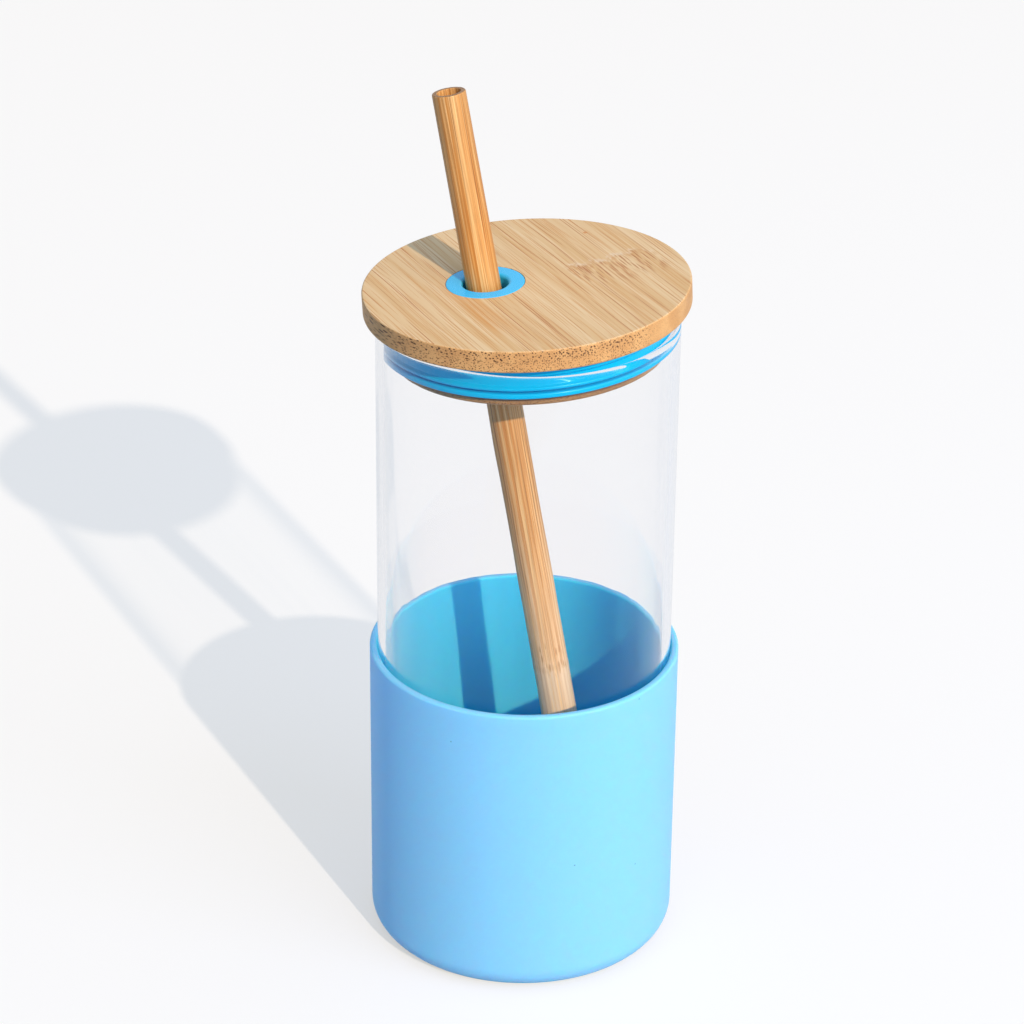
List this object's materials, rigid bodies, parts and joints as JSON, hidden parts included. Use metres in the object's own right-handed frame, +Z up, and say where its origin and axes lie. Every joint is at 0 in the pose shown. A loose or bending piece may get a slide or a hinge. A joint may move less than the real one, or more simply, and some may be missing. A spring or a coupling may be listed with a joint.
{
  "type": "glass tumbler with silicone sleeve, bamboo lid and straw",
  "caption": "Straight glass drinking tumbler in a soft silicone sleeve, with a loose bamboo lid sealed by a ring gasket and a bamboo straw leaning through a soft grommet.",
  "frame": {"origin": "centre of the sleeve's flat underside, on the axis of the glass", "axes": "+Z up along the glass axis, -Y towards the viewer, +X to the viewer's right; the straw's top leans towards -X"},
  "size_m": [0.0753, 0.0753, 0.2131],
  "materials": {
    "clear_glass": "clear, polished",
    "sleeve_silicone": "satin matte silicone",
    "seal_silicone": "smooth silicone",
    "lid_bamboo": "fine sanded bamboo board",
    "cane_bamboo": "natural polished cane"
  },
  "bodies": {
    "sleeve": {"silicone_sleeve": "sleeve_silicone"},
    "glass": {"glass_tumbler": "clear_glass"},
    "lid": {"lid_disc": "lid_bamboo", "lid_plug": "lid_bamboo", "lid_gasket": "seal_silicone", "straw_grommet": "seal_silicone"},
    "straw": {"bamboo_straw": "cane_bamboo"}
  },
  "joints": [
    {"name": "glass_lift", "type": "slide", "parent": "sleeve", "child": "glass", "axis": [0, 0, 1], "range_m": [0, 0.08]},
    {"name": "lid_lift", "type": "slide", "parent": "glass", "child": "lid", "axis": [0, 0, 1], "range_m": [0, 0.07]},
    {"name": "straw_slide", "type": "slide", "parent": "lid", "child": "straw", "axis": [-0.1726, 0.0601, 0.9831], "range_m": [0, 0.1]}
  ]
}
